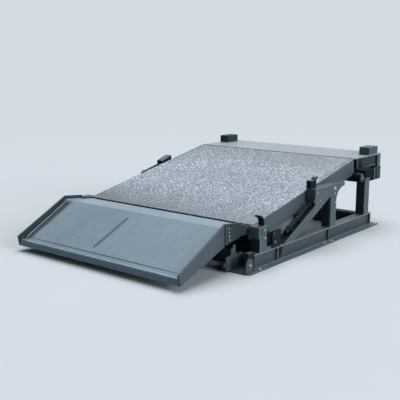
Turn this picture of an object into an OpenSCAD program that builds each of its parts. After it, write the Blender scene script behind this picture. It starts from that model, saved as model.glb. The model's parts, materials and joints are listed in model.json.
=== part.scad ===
// Dock leveler: a hinged tread deck with a folding lip on a free-standing side frame
// Millimetres, +Z up, +Y towards the dock, lip to the front. Shown with the deck lowered.

/* [Deck] */
// Width of the tread deck
deck_w = 1800; // [1500:10:2200]
// Length of the tread deck along its slope
deck_l = 1658; // [1500:2:1900]
// Slope of the lowered deck, in degrees
deck_slope = 11.5; // [9:0.1:12]
// Thickness of the tread plate
deck_t = 8; // [5:0.5:12]
// Depth of the side channels below the tread plate
channel_h = 136; // [110:1:150]
// Flange width of the side channels
channel_flange = 60; // [40:1:80]
// Plate thickness of the side channels, headers and ribs
channel_t = 8; // [5:0.5:12]
// Number of lengthwise ribs under the tread plate
rib_n = 5; // [3:1:7]
// Depth of the ribs
rib_h = 100; // [60:1:110]
// Distance of the outer ribs from the side channels
rib_inset = 168; // [100:1:220]

/* [Lip] */
// Width of the lip over its cheeks
lip_w = 1770; // [1400:10:2200]
// Length of the strip between hinge and bend
strip_l = 300; // [240:1:340]
// Rise of the strip towards the bend, in degrees
strip_rise = 6.5; // [3:0.1:8]
// Length of the ramp plate from bend to nose
ramp_l = 575; // [500:1:620]
// Fall of the ramp plate, in degrees
ramp_drop = 27; // [24:0.1:28]
// Thickness of the lip plate
lip_t = 14; // [10:0.5:18]
// Thickness of the cheeks
cheek_t = 16; // [10:1:20]
// Height of the cheeks above the lip plate
cheek_up = 34; // [20:1:45]
// Depth of the cheeks below the lip plate at the bend
cheek_bend = 128; // [100:1:140]
// Depth of the cheeks below the lip plate at the hinge end
cheek_end = 74; // [55:1:90]
// Distance of the cheeks' rear end from the lip hinge
cheek_gap = 118; // [100:1:140]
// Width of the seam in the cheeks' outer faces at the bend
seam_w = 6; // [4:0.5:9]
// Depth of the seam
seam_d = 8; // [4:0.5:9]
// Height of the nose bar
nose_h = 50; // [40:1:54]
// Depth of the nose bar
nose_d = 34; // [26:1:45]
// Radius of the nose bar's upper edge
nose_r = 16; // [8:1:20]
// Number of ribs under the lip
lip_rib_n = 4; // [2:1:6]
// Depth of the ribs under the lip
lip_rib_h = 60; // [40:1:80]
// Distance of the outer ribs from the cheeks
lip_rib_inset = 260; // [150:1:320]

/* [Hinges] */
// Height of the tread surface above the rear hinge axis
hinge_rise = 50; // [46:0.5:60]
// Radius of the rear hinge eyes
eye_r = 32; // [28:0.5:34]
// Radius of the rear hinge pin
pin_r = 20; // [15:0.5:22]
// Number of rear hinge lugs on the frame
lug_n = 5; // [3:1:7]
// Thickness of the frame's hinge lugs
lug_t = 30; // [20:1:40]
// Distance of the outer hinge lugs from the deck's sides
lug_inset = 126; // [115:1:180]
// Gap between the rear hinge pin's ends and the side channels
pin_end_gap = 4; // [2:0.5:8]
// Side gap between neighbouring hinge pieces
side_gap = 7; // [6:0.5:12]
// Radius of the lip hinge tubes
knuckle_r = 24; // [20:0.5:26]
// Radius of the lip hinge pin
lip_pin_r = 13; // [10:0.5:15]
// Number of lip hinge tubes on the deck
knuckle_n = 6; // [4:1:8]
// Length of each lip hinge tube
knuckle_l = 140; // [80:1:150]
// Distance of the lip hinge from the deck's front edge
lip_hinge_gap = 34; // [32:0.5:44]
// Gap between the lip plate and the deck's hinge tubes
lip_gap = 6; // [5.5:0.5:8]
// Running clearance of a pin in its eye, on the radius
pin_play = 0.08; // [0.04:0.01:0.1]

/* [Frame] */
// Width of the frame over its posts
frame_w = 2000; // [1700:10:2400]
// Side gap between deck and posts
deck_gap = 10; // [8:0.5:20]
// Thickness of the base plates
base_t = 12; // [8:0.5:16]
// Reach of the base plates beyond the posts
base_edge = 30; // [20:1:60]
// Front end of the base plates, ahead of the deck edge
base_front = 233; // [200:1:280]
// Rear end of the base plates, behind the hinge axis
base_rear = 295; // [245:1:325]
// Width of the base plates' strip under the sills
base_strip = 150; // [130:1:200]
// Width of the base plates' feet
foot_w = 304; // [270:1:340]
// Length of the base plates' feet
foot_l = 230; // [200:1:260]
// Corner radius of the front feet
foot_r = 45; // [20:1:60]
// Radius of the anchor holes
anchor_r = 11; // [8:0.5:14]
// Distance of the anchor holes from the feet's inner and outer ends
anchor_edge = 48; // [35:1:60]
// Distance between the two holes of a front foot
anchor_pitch = 80; // [60:1:90]
// Height of the sill channels
sill_h = 119; // [100:1:130]
// Plate thickness of the sill channels
sill_t = 8; // [6:0.5:12]
// Front end of the sills, ahead of the deck edge
sill_front = 120; // [90:1:140]
// Rear end of the sills, behind the hinge axis
sill_rear = 202; // [165:1:245]
// Place of the front stiffener in the sills, behind the front post
stiffener_gap = 160; // [100:1:200]
// Wall of the posts and beams
tube_t = 6; // [4:0.5:10]
// Thickness of the posts' cap and foot plates
cap_t = 8; // [6:0.5:12]
// Length of the posts along the frame
post_l = 98; // [80:1:110]
// Front of the front posts, ahead of the deck edge
front_post = 50; // [30:1:60]
// Front of the middle posts, behind the deck edge
mid_post = 1030; // [980:1:1060]
// Front of the rear posts, behind the hinge axis
rear_post = 41; // [25:1:55]
// Height of the rear posts' tops
rear_post_h = 476; // [464:1:494]
// Corner radius of the posts and beams
tube_r = 9; // [7:0.5:12]
// Height of the front posts' tops
front_post_h = 329; // [310:1:340]
// Width of the slots in the front posts' outer walls
slot_w = 12; // [8:1:16]
// Height of the slots in the front posts' outer walls
slot_h = 54; // [30:1:70]
// Distance of the slots from the front posts' front and top
slot_gap = 14; // [13:1:20]

/* [Side plates] */
// Slope of the braces, in degrees
brace_slope = 25.5; // [24:0.1:27]
// Width of the braces
brace_w = 70; // [60:1:80]
// Drop of the braces' lower edge below the side plates' top at the middle posts
brace_drop = 92; // [80:1:110]
// Reach of the braces' flanges
brace_d = 86; // [60:1:90]
// Thickness of the braces and side plates
side_t = 10; // [8:0.5:14]
// Distance of the braces' foot gussets from the front posts
gusset_gap = 72; // [50:1:85]
// Length of the foot gussets
gusset_l = 120; // [90:1:130]
// Height of the foot gussets
gusset_h = 138; // [100:1:150]
// Front edge of the side plates, behind the deck edge
side_front = 762; // [740:1:790]
// Height of the side plates' tops
side_top = 505; // [490:1:510]
// Length of the arch behind the middle posts
arch_l = 146; // [120:1:160]
// Drop of the arch behind the middle posts
arch_h = 120; // [100:1:140]
// Depth of the side plates' rear tail
tail_h = 34; // [20:1:44]
// Height of the box plates behind the side plates' front edge
box_h = 118; // [90:1:130]
// Fall of the left side plate's top ahead of its box
left_fall = 52; // [40:1:65]
// Gap between the box plates' fronts and the side plates
box_gap = 6; // [3:0.5:10]

/* [Rear] */
// Height of the rear plate's top
rear_h = 658; // [640:1:680]
// Thickness of the rear plate
rear_t = 8; // [6:0.5:12]
// Gap between rear hinge axis and rear plate
rear_gap = 14; // [13.5:0.5:18]
// Back edge of the rear plate, behind the hinge axis
rear_end = 565; // [520:1:610]
// Height of the rear beam
beam_h = 127; // [105:1:135]
// Front of the rear beam behind the hinge axis
beam_gap = 193; // [180:1:210]
// Back of the rear beam, behind the hinge axis
beam_rear = 443; // [418:1:468]
// Depth of the wall channel
wall_d = 66; // [40:1:90]
// Width of the rear blocks
block_w = 108; // [80:1:130]
// Length of the rear blocks
block_l = 188; // [140:1:220]
// Height of the rear blocks
block_h = 72; // [50:1:90]
// Height of the tie beam's underside between the rear posts
tie_z = 430; // [415:1:440]
// Height of the tie beam
tie_h = 80; // [60:1:85]
// Depth of the tie beam
tie_d = 80; // [60:1:84]
// Distance of the rear blocks from the rear plate's back edge
block_gap = 70; // [40:1:90]
// Height of the wall brackets
bracket_h = 114; // [95:1:130]
// Height of the wall brackets' undersides
bracket_z = 441; // [430:1:450]
// Back of the wall brackets, behind the hinge axis
bracket_end = 360; // [330:1:390]
// Length of the gussets under the rear plate's front corners
corner_l = 96; // [80:1:105]
// Distance of the corner gussets from the rear plate's sides
corner_x = 40; // [20:1:60]
// Radius of the round bosses on the rear posts
boss_r = 44; // [35:1:48]
// Length of the round bosses
boss_l = 66; // [50:1:80]
// Height of the round bosses
boss_z = 488; // [476:1:496]

/* [Fittings] */
// Width of the front cross beam
front_beam_d = 60; // [45:1:80]
// Height of the front cross beam
front_beam_h = 96; // [70:1:110]
// Front of the low rear beam, behind the hinge axis
low_beam = 55; // [35:1:65]
// Depth of the low rear beam
low_beam_d = 100; // [80:1:130]
// Thickness of the lip keepers
keeper_t = 12; // [8:1:16]
// Distance of the lip keepers' inner faces from the lip's outer edge
keeper_x = 47; // [43:1:65]
// Reach of the lip keepers ahead of the deck edge
keeper_reach = 270; // [240:1:275]
// Height of the lip keepers' feet
keeper_h = 108; // [80:1:115]
// Height of the lip keepers' horns
horn_h = 188; // [165:1:196]
// Width of the lip keepers' horns
horn_w = 52; // [40:1:60]
// Distance of the horns from the front cross beam
horn_gap = 98; // [80:1:104]
// Radius between the horns and their feet
throat_r = 18; // [10:1:24]
// Radius of the horns' upper front corner
horn_r = 30; // [15:1:38]
// Length of the toe plates
toe_l = 104; // [80:1:110]
// Height of the toe plates
toe_h = 138; // [110:1:150]
// Radius of the toe plates' upper front corner
toe_r = 62; // [30:1:75]
// Width of the lugs and hooks on the frame
hook_w = 46; // [30:1:60]
// Height of the middle lugs
lug_h = 66; // [50:1:90]
// Distance of the right box and its lug from the side plate's front edge
right_lug_gap = 0; // [0:1:40]
// Distance of the left box and its lug from the side plate's front edge
left_lug_gap = 228; // [200:1:250]
// Length of the left lug
left_lug_l = 135; // [110:1:150]
// Width of the left lug
left_lug_w = 76; // [60:1:78]
// Height of the left lug at its back
left_lug_h = 86; // [70:1:100]
// Height of the left lug at its front
left_lug_toe = 42; // [30:1:60]
// Length of the middle lugs
lug_l = 70; // [50:1:90]
// Radius of the middle lugs' hooks, to the middle of the bar
hook_r = 34; // [28:1:42]
// Radius of the front hooks, to the middle of the bar
front_hook_r = 60; // [45:1:70]
// Straight foot of the front hooks
front_hook_l = 20; // [10:1:40]
// Distance of the front hooks from the back of the front posts
front_hook_gap = 10; // [4:1:20]
// Thickness of the bent hooks
hook_t = 14; // [10:1:18]

/* [Hidden] */
slate = [0.24, 0.29, 0.33];
slate_dark = [0.15, 0.18, 0.21];
slate_light = [0.36, 0.42, 0.47];
tread = [0.62, 0.65, 0.68];
black = [0.07, 0.08, 0.09];
steel = [0.5, 0.52, 0.54];
$fn = 48;
cut = 1;
inner_x = deck_w / 2 + deck_gap;
frame_x = frame_w / 2;
sill_top = base_t + sill_h;
hinge_y = deck_l * cos(deck_slope) + hinge_rise * sin(deck_slope);
hinge_z = rear_h - hinge_rise;
rear_front = hinge_y + rear_gap;
plate_end = hinge_y + rear_end;
beam_front = hinge_y + beam_gap;
beam_back = hinge_y + beam_rear;
post_front = hinge_y + rear_post;
sill_end = hinge_y + sill_rear;
base_end = hinge_y + base_rear;
beam_top = rear_h - rear_t;
beam_bottom = beam_top - beam_h;
lip_rise = knuckle_r + lip_gap + lip_t;
under_deck = hinge_rise - deck_t;
header_y = 62;
lip_axis_l = deck_l + lip_hinge_gap;
lip_axis_z = hinge_rise - lip_rise;
lip_y = hinge_y - lip_axis_l * cos(deck_slope) - lip_axis_z * sin(deck_slope);
lip_z = hinge_z - lip_axis_l * sin(deck_slope) + lip_axis_z * cos(deck_slope);
strip_set = 10;
strip_end = strip_set + strip_l;
bend_y = lip_rise * sin(strip_rise) - strip_end * cos(strip_rise);
bend_z = lip_rise * cos(strip_rise) + strip_end * sin(strip_rise);
tip_y = bend_y - ramp_l * cos(ramp_drop);
tip_z = bend_z - ramp_l * sin(ramp_drop);
cheek_x = lip_w / 2 - cheek_t;
nose_front = lip_y + tip_y - cheek_up * sin(ramp_drop);
y_mid = (nose_front + plate_end) / 2;

// Puts the middle of the floor outline at the origin
module placed() {
    translate([0, -y_mid, 0]) children();
}

// Copies a right-hand piece to the left
module left() {
    mirror([1, 0, 0]) children();
}

// Right-hand and left-hand copies of a piece
module both() {
    children();
    left() children();
}

// Deck frame: rear hinge axis at the origin, tread surface at hinge_rise
module on_deck() {
    translate([0, hinge_y, hinge_z]) rotate([deck_slope, 0, 0]) children();
}

// Lip frame: lip hinge axis at the origin
module on_lip() {
    translate([0, lip_y, lip_z]) children();
}

// Side outline in Y and Z, drawn as X and Y, thickened along X from x0 to x1
module slab(x0, x1) {
    translate([x0, 0, 0]) rotate([90, 0, 90]) linear_extrude(x1 - x0) children();
}

// Box between two corners
module block(low, high) {
    translate(low) cube(high - low);
}

// Rectangle with round corners, one corner at the origin
module round_rect(size, r) {
    translate([r, 0]) square([size[0] - 2 * r, size[1]]);
    translate([0, r]) square([size[0], size[1] - 2 * r]);
    for (x = [r, size[0] - r], y = [r, size[1] - r])
        translate([x, y]) circle(r);
}

// Upright square tube with round corners and closed foot and cap plates
module post(low, high) {
    size = high - low;
    translate(low)
    difference() {
        linear_extrude(size[2]) round_rect([size[0], size[1]], tube_r);
        translate([tube_t, tube_t, cap_t])
            linear_extrude(size[2] - 2 * cap_t)
            round_rect([size[0] - 2 * tube_t, size[1] - 2 * tube_t], tube_r - tube_t);
    }
}

// Round bar along X
module bar(x0, x1, r) {
    translate([x0, 0, 0]) rotate([0, 90, 0]) cylinder(r = r, h = x1 - x0);
}

module base() {
    out_x = frame_x + base_edge;
    foot_in = out_x - foot_w;
    color(slate)
    difference() {
        linear_extrude(base_t) {
            translate([out_x - base_strip, foot_r - base_front])
                square([base_strip, base_end + base_front - foot_r]);
            translate([foot_in, -base_front]) square([foot_w - foot_r, foot_l]);
            translate([out_x - foot_r, foot_r - base_front]) circle(foot_r);
            translate([foot_in, base_end - foot_l]) square([foot_w, foot_l]);
        }
        for (y = anchor_rows)
            translate([anchor_x, y, -cut]) cylinder(r = anchor_r, h = base_t + 2 * cut);
    }
}
anchor_x = frame_x + base_edge - foot_w + anchor_edge;
anchor_front = anchor_edge - base_front;
anchor_rows = [anchor_front, anchor_front + anchor_pitch, base_end - anchor_edge];

module sill() {
    stiffener_rows = [post_l - front_post + stiffener_gap, mid_post - sill_t, sill_end - sill_t];
    color(slate) {
        difference() {
            block([inner_x, -sill_front, base_t], [frame_x, sill_end, sill_top]);
            block([inner_x + sill_t, -sill_front - cut, base_t + sill_t],
                [frame_x + cut, sill_end + cut, sill_top - sill_t]);
        }
        for (y = stiffener_rows)
            block([inner_x + sill_t, y, base_t + sill_t],
                [frame_x - sill_t, y + sill_t, sill_top - sill_t]);
    }
}

module front_post() {
    slot_y = slot_gap - front_post;
    slot_top = front_post_h - slot_gap;
    color(slate)
    difference() {
        post([inner_x, -front_post, sill_top], [frame_x, post_l - front_post, front_post_h]);
        block([frame_x - tube_t - cut, slot_y, slot_top - slot_h],
            [frame_x + cut, slot_y + slot_w, slot_top]);
    }
}

module mid_post() {
    color(slate)
    post([inner_x, mid_post, sill_top], [frame_x - side_t, mid_post + post_l, side_top - cap_t]);
}

module rear_post() {
    color(slate)
    post([inner_x, post_front, sill_top], [frame_x, post_front + post_l, rear_post_h]);
}

// Height of the brace's lower edge at y
function brace_z(y) = sill_top + (y - brace_foot) * tan(brace_slope);
brace_foot = mid_post - (side_top - brace_drop - sill_top) / tan(brace_slope);

// Brace outline, shrunk by t on both long edges
module brace_outline(t) {
    lift = t / cos(brace_slope);
    high = brace_w / cos(brace_slope) - lift;
    low_y = brace_foot - lift / tan(brace_slope);
    polygon([
        [low_y, sill_top],
        [side_front, brace_z(side_front) + lift],
        [side_front, brace_z(side_front) + high],
        [brace_foot - high / tan(brace_slope), sill_top]
    ]);
}

module brace() {
    gusset_y = post_l - front_post + gusset_gap;
    color(slate) {
        slab(frame_x - side_t, frame_x) {
            brace_outline(0);
            translate([gusset_y, sill_top]) square([gusset_l, gusset_h]);
        }
        difference() {
            slab(frame_x - brace_d, frame_x - side_t) brace_outline(0);
            slab(frame_x - brace_d - cut, frame_x - side_t + cut) brace_outline(side_t);
        }
    }
}

// Side plate whose top falls by fall towards its front edge
module side_plate(fall) {
    post_back = mid_post + post_l;
    tail_y = post_back + arch_l;
    color(slate)
    slab(frame_x - side_t, frame_x)
    difference() {
        polygon([
            [side_front, brace_z(side_front)],
            [mid_post, brace_z(mid_post)],
            [mid_post, sill_top],
            [post_back, sill_top],
            [post_back, side_top - arch_h - tail_h],
            [tail_y, side_top - arch_h - tail_h],
            [tail_y, side_top],
            [side_front + left_lug_gap, side_top],
            [side_front, side_top - fall]
        ]);
        translate([tail_y, side_top - arch_h - tail_h]) scale([arch_l, arch_h]) circle(1);
    }
}

// Front and top of the box behind a side plate
module box(gap) {
    front = side_front + gap;
    block([inner_x, front, side_top - box_h],
        [frame_x - side_t - box_gap, front + cap_t, side_top - cap_t]);
    block([inner_x, front, side_top - cap_t], [frame_x - side_t, mid_post + post_l, side_top]);
}

module box_plates() {
    color(slate_dark) {
        box(right_lug_gap);
        left() box(left_lug_gap);
    }
}

// Bar bent over a quarter circle of radius r, rising from the origin and curling to the rear
module bent_hook(stem, r) {
    out = r + hook_t / 2;
    in = r - hook_t / 2;
    translate([0, out, stem])
    rotate([0, 90, 0]) rotate([0, 0, 180])
    intersection() {
        difference() {
            cylinder(r = out, h = hook_w, center = true);
            cylinder(r = in, h = hook_w + 2 * cut, center = true);
        }
        translate([0, 0, -hook_w]) cube([out + cut, out + cut, 2 * hook_w]);
    }
    block([-hook_w / 2, 0, 0], [hook_w / 2, hook_t, stem]);
}

module mid_lug() {
    color(black)
    translate([inner_x + hook_w / 2, side_front + right_lug_gap, side_top]) {
        block([-hook_w / 2, 0, 0], [hook_w / 2, lug_l, lug_h]);
        translate([0, lug_l, 0]) bent_hook(lug_h - hook_r / 2, hook_r);
    }
}

module left_lug() {
    color(black)
    translate([0, side_front + left_lug_gap, side_top])
    slab(inner_x, inner_x + left_lug_w)
    polygon([[0, 0], [left_lug_l, 0], [left_lug_l, left_lug_h], [0, left_lug_toe]]);
}

module front_hooks() {
    hook_x = (inner_x + frame_x) / 2;
    color(black)
    translate([hook_x, post_l - front_post - front_hook_gap, front_post_h])
    mirror([0, 1, 0]) bent_hook(front_hook_l, front_hook_r);
}

module keeper() {
    foot_back = -front_beam_d;
    horn_back = foot_back - horn_gap;
    color(slate_light)
    slab(lip_w / 2 - keeper_x, lip_w / 2 - keeper_x + keeper_t)
    difference() {
        union() {
            translate([-keeper_reach, base_t]) square([keeper_reach + foot_back, keeper_h]);
            translate([horn_back - horn_w, base_t]) square([horn_w, horn_h]);
            translate([horn_back, base_t + keeper_h]) square([throat_r, throat_r]);
        }
        translate([horn_back + throat_r, base_t + keeper_h + throat_r]) circle(throat_r);
        translate([horn_back - horn_w, base_t + horn_h]) circle(horn_r);
    }
}

module toe_plates() {
    back = -sill_front;
    color(slate_light)
    both()
    slab(frame_x - side_t, frame_x)
    intersection() {
        translate([back - toe_l, base_t]) square([toe_l, toe_h]);
        union() {
            translate([back - toe_l, base_t]) square([toe_l, toe_h - toe_r]);
            translate([back - toe_l + toe_r, base_t]) square([toe_l, toe_h]);
            translate([back - toe_l + toe_r, base_t + toe_h - toe_r]) circle(toe_r);
        }
    }
}

// Square tube across the frame between two corners, with closed ends
module cross_beam(low, high) {
    size = high - low;
    translate(low)
    difference() {
        slab(0, size[0]) round_rect([size[1], size[2]], tube_r);
        slab(tube_t, size[0] - tube_t)
            translate([tube_t, tube_t])
            round_rect([size[1] - 2 * tube_t, size[2] - 2 * tube_t], tube_r - tube_t);
    }
}

module front_beam() {
    color(slate_dark)
    cross_beam([-inner_x, -front_beam_d, base_t], [inner_x, 0, base_t + front_beam_h]);
}

module low_beam() {
    front = hinge_y + low_beam;
    color(slate_dark)
    cross_beam([-inner_x, front, base_t], [inner_x, front + low_beam_d, sill_top]);
}

module rear_beam() {
    tie_back = post_front + post_l;
    color(slate) {
        cross_beam([-deck_w / 2, beam_front, beam_bottom], [deck_w / 2, beam_back, beam_top]);
        cross_beam([-inner_x, tie_back - tie_d, tie_z], [inner_x, tie_back, tie_z + tie_h]);
    }
}

module beam_ends() {
    out = deck_w / 2 - corner_x;
    color(slate_dark)
    both()
    slab(out - side_t, out)
    polygon([
        [beam_front, beam_top],
        [beam_front - corner_l, beam_top],
        [beam_front, beam_bottom + tube_r]
    ]);
}

module wall_channel() {
    half = deck_w / 2;
    color(slate)
    difference() {
        block([-half, beam_back, beam_bottom], [half, plate_end, beam_top]);
        block([-half - cut, beam_back - cut, beam_bottom - cut],
            [half + cut, plate_end - wall_d, beam_top - rear_t]);
        block([-half + side_t, plate_end - wall_d - cut, beam_bottom - cut],
            [half - side_t, plate_end - side_t, beam_top - rear_t]);
    }
}

module rear_plate() {
    color(slate_light)
    block([-deck_w / 2, rear_front, beam_top], [deck_w / 2, plate_end, rear_h]);
}

module rear_block() {
    back = plate_end - block_gap;
    color(slate)
    post([deck_w / 2 - block_w, back - block_l, rear_h], [deck_w / 2, back, rear_h + block_h]);
}

module wall_brackets() {
    in_x = deck_w / 2;
    front = post_front + post_l;
    back = hinge_y + bracket_end;
    top = bracket_z + bracket_h;
    color(slate_dark)
    both() {
        block([inner_x, post_front, rear_post_h], [frame_x, front + side_t, top]);
        difference() {
            block([in_x, front, bracket_z], [frame_x, back, top]);
            block([in_x + side_t, front + side_t, bracket_z + side_t],
                [frame_x - side_t, back - side_t, top + cut]);
            translate([(in_x + frame_x) / 2, back + cut, bracket_z + bracket_h / 2])
                rotate([90, 0, 0]) cylinder(r = anchor_r, h = side_t + 2 * cut);
        }
    }
}

module bosses() {
    back = post_front;
    mid = (inner_x + frame_x) / 2;
    color(slate_dark)
    both() {
        translate([0, back - boss_r, boss_z]) bar(mid - boss_l / 2, mid + boss_l / 2, boss_r);
        block([mid - boss_l / 4, back - boss_r, boss_z - boss_r / 2],
            [mid + boss_l / 4, back, boss_z + boss_r / 2]);
    }
}

// Middles of n pieces spread evenly over a width
function spread(n, width) = [for (i = [0 : n - 1]) (i - (n - 1) / 2) * width / (n - 1)];
lug_rows = spread(lug_n, deck_w - 2 * lug_inset);

module hinge_lugs() {
    color(slate_dark)
    for (x = lug_rows)
        difference() {
            union() {
                translate([0, hinge_y, hinge_z]) bar(x - lug_t / 2, x + lug_t / 2, eye_r);
                block([x - lug_t / 2, hinge_y, hinge_z - eye_r],
                    [x + lug_t / 2, beam_front, hinge_z + eye_r]);
            }
            translate([0, hinge_y, hinge_z]) bar(x - lug_t, x + lug_t, pin_r + pin_play);
        }
}

module rear_pin() {
    half = deck_w / 2 - channel_t - pin_end_gap;
    color(steel)
    translate([0, hinge_y, hinge_z]) bar(-half, half, pin_r);
}

module deck_plate() {
    color(tread)
    on_deck() block([-deck_w / 2, -deck_l, under_deck], [deck_w / 2, 0, hinge_rise]);
}

module channel() {
    out = deck_w / 2;
    low = under_deck - channel_h;
    color(slate)
    on_deck()
    difference() {
        block([out - channel_flange, -deck_l, low], [out, -side_gap, under_deck]);
        block([out - channel_flange - cut, channel_t - deck_l, low + channel_t],
            [out - channel_t, cut, under_deck - channel_t]);
    }
}

module deck_ribs() {
    span = deck_w - 2 * channel_flange;
    color(slate_dark)
    on_deck()
    for (x = spread(rib_n, span - 2 * rib_inset))
        block([x - channel_t / 2, channel_t - deck_l, under_deck - rib_h],
            [x + channel_t / 2, -header_y - channel_t, under_deck]);
}

module front_header() {
    half = deck_w / 2 - channel_flange;
    color(slate_dark)
    on_deck()
    block([-half, -deck_l, under_deck - channel_h], [half, channel_t - deck_l, under_deck]);
}

module rear_header() {
    half = deck_w / 2 - channel_flange;
    color(slate_dark)
    on_deck()
    block([-half, -header_y - channel_t, under_deck - rib_h], [half, -header_y, under_deck]);
}

module deck_eyes() {
    color(slate)
    on_deck()
    for (x = lug_rows, side = [-1, 1]) {
        mid = x + side * (lug_t + side_gap);
        difference() {
            union() {
                bar(mid - lug_t / 2, mid + lug_t / 2, eye_r);
                block([mid - lug_t / 2, -header_y, -eye_r], [mid + lug_t / 2, 0, eye_r]);
                block([mid - lug_t / 2, -header_y, 0], [mid + lug_t / 2, -eye_r, under_deck]);
            }
            bar(mid - lug_t, mid + lug_t, pin_r + pin_play);
        }
    }
}

// Tubes of the lip hinge: pitch from one tube to the next of the same piece
knuckle_pitch = (lip_w - 2 * cheek_t - knuckle_l - 2 * side_gap) / (knuckle_n - 1);
deck_knuckle_rows = [for (i = [0 : knuckle_n - 1]) (i - (knuckle_n - 1) / 2) * knuckle_pitch];
lip_knuckle_rows = [for (i = [0 : knuckle_n - 2]) (i - (knuckle_n - 2) / 2) * knuckle_pitch];
lip_knuckle_l = knuckle_pitch - knuckle_l - 2 * side_gap;

module deck_knuckles() {
    color(slate)
    on_deck()
    for (x = deck_knuckle_rows)
        translate([0, -lip_axis_l, lip_axis_z])
        difference() {
            union() {
                bar(x - knuckle_l / 2, x + knuckle_l / 2, knuckle_r);
                block([x - knuckle_l / 2, 0, -knuckle_r], [x + knuckle_l / 2, lip_hinge_gap, 0]);
            }
            bar(x - knuckle_l, x + knuckle_l, lip_pin_r + pin_play);
        }
}

module lip_pin() {
    half = (knuckle_pitch * (knuckle_n - 1) + knuckle_l) / 2;
    color(steel)
    on_lip() bar(-half, half, lip_pin_r);
}

// Side outline of the lip's surface, moved along its normals by d
function lip_line(d) = [
    [(lip_rise + d) * sin(strip_rise) - strip_set * cos(strip_rise),
        (lip_rise + d) * cos(strip_rise) + strip_set * sin(strip_rise)],
    [bend_y + d * bend_dy, bend_z + d * bend_dz],
    [tip_y - d * sin(ramp_drop), tip_z + d * cos(ramp_drop)]
];
bend_half = (ramp_drop + strip_rise) / 2;
bend_dy = -sin(ramp_drop - bend_half) / cos(bend_half);
bend_dz = cos(ramp_drop - bend_half) / cos(bend_half);

module lip_plate() {
    top = lip_line(0);
    low = lip_line(-lip_t);
    color(slate_light)
    on_lip()
    slab(-cheek_x, cheek_x) polygon([top[0], top[1], top[2], low[2], low[1], low[0]]);
}

module cheek() {
    top = lip_line(cheek_up);
    end_y = -cheek_gap;
    end_z = lip_rise + cheek_gap * tan(strip_rise);
    color(slate)
    on_lip()
    difference() {
        slab(cheek_x, cheek_x + cheek_t)
        polygon([
            [end_y, end_z + cheek_up],
            top[1],
            top[2],
            [tip_y, tip_z - nose_h],
            [bend_y, bend_z - cheek_bend],
            [end_y, end_z - cheek_end]
        ]);
        block([cheek_x + cheek_t - seam_d, bend_y, bend_z - cheek_bend - cut],
            [cheek_x + cheek_t + cut, bend_y + seam_w, bend_z]);
    }
}

module lip_nose() {
    low = tip_z - nose_h;
    edge_y = tip_y;
    color(slate_light)
    on_lip()
    slab(-cheek_x, cheek_x)
    difference() {
        union() {
            translate([edge_y, low]) square([nose_d, nose_h - nose_r]);
            translate([edge_y + nose_r, low]) square([nose_d - nose_r, nose_h]);
            translate([edge_y + nose_r, tip_z - nose_r]) circle(nose_r);
        }
        polygon([
            lip_line(-lip_t)[2],
            lip_line(-lip_t)[1],
            lip_line(cheek_bend)[1],
            lip_line(cheek_bend)[2]
        ]);
    }
}

module lip_knuckles() {
    half = lip_knuckle_l / 2;
    color(slate)
    on_lip()
    rotate([-strip_rise, 0, 0])
    for (x = lip_knuckle_rows)
        difference() {
            union() {
                bar(x - half, x + half, knuckle_r);
                block([x - half, -strip_set - knuckle_r, 0], [x + half, -strip_set, knuckle_r + lip_gap]);
            }
            bar(x - half - cut, x + half + cut, lip_pin_r + pin_play);
        }
}

module lip_ribs() {
    under = lip_line(-lip_t);
    color(slate_dark)
    on_lip()
    for (x = spread(lip_rib_n, 2 * (cheek_x - lip_rib_inset)))
        slab(x - channel_t / 2, x + channel_t / 2)
        polygon([under[1], under[2] + [nose_d, 0], [bend_y, bend_z - lip_rib_h - lip_t]]);
}

placed() left() base();  // base_l
placed() base();  // base_r
placed() left() sill();  // sill_l
placed() sill();  // sill_r
placed() left() front_post();  // front_post_l
placed() front_post();  // front_post_r
placed() left() mid_post();  // mid_post_l
placed() mid_post();  // mid_post_r
placed() left() rear_post();  // rear_post_l
placed() rear_post();  // rear_post_r
placed() left() brace();  // brace_l
placed() brace();  // brace_r
placed() left() side_plate(left_fall);  // side_plate_l
placed() side_plate(0);  // side_plate_r
placed() box_plates();
placed() left() left_lug();  // mid_lug_l
placed() mid_lug();  // mid_lug_r
placed() front_hooks();
placed() left() keeper();  // keeper_l
placed() keeper();  // keeper_r
placed() toe_plates();
placed() front_beam();
placed() low_beam();
placed() rear_beam();
placed() beam_ends();
placed() wall_channel();
placed() rear_plate();
placed() left() rear_block();  // rear_block_l
placed() rear_block();  // rear_block_r
placed() wall_brackets();
placed() bosses();
placed() hinge_lugs();
placed() rear_pin();
placed() deck_plate();
placed() left() channel();  // channel_l
placed() channel();  // channel_r
placed() deck_ribs();
placed() front_header();
placed() rear_header();
placed() deck_eyes();
placed() deck_knuckles();
placed() lip_pin();
placed() lip_plate();
placed() left() cheek();  // cheek_l
placed() cheek();  // cheek_r
placed() lip_nose();
placed() lip_knuckles();
placed() lip_ribs();
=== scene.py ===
"""Dock leveler: finishes, tread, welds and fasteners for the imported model, run as a script."""
import json
import math

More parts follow.
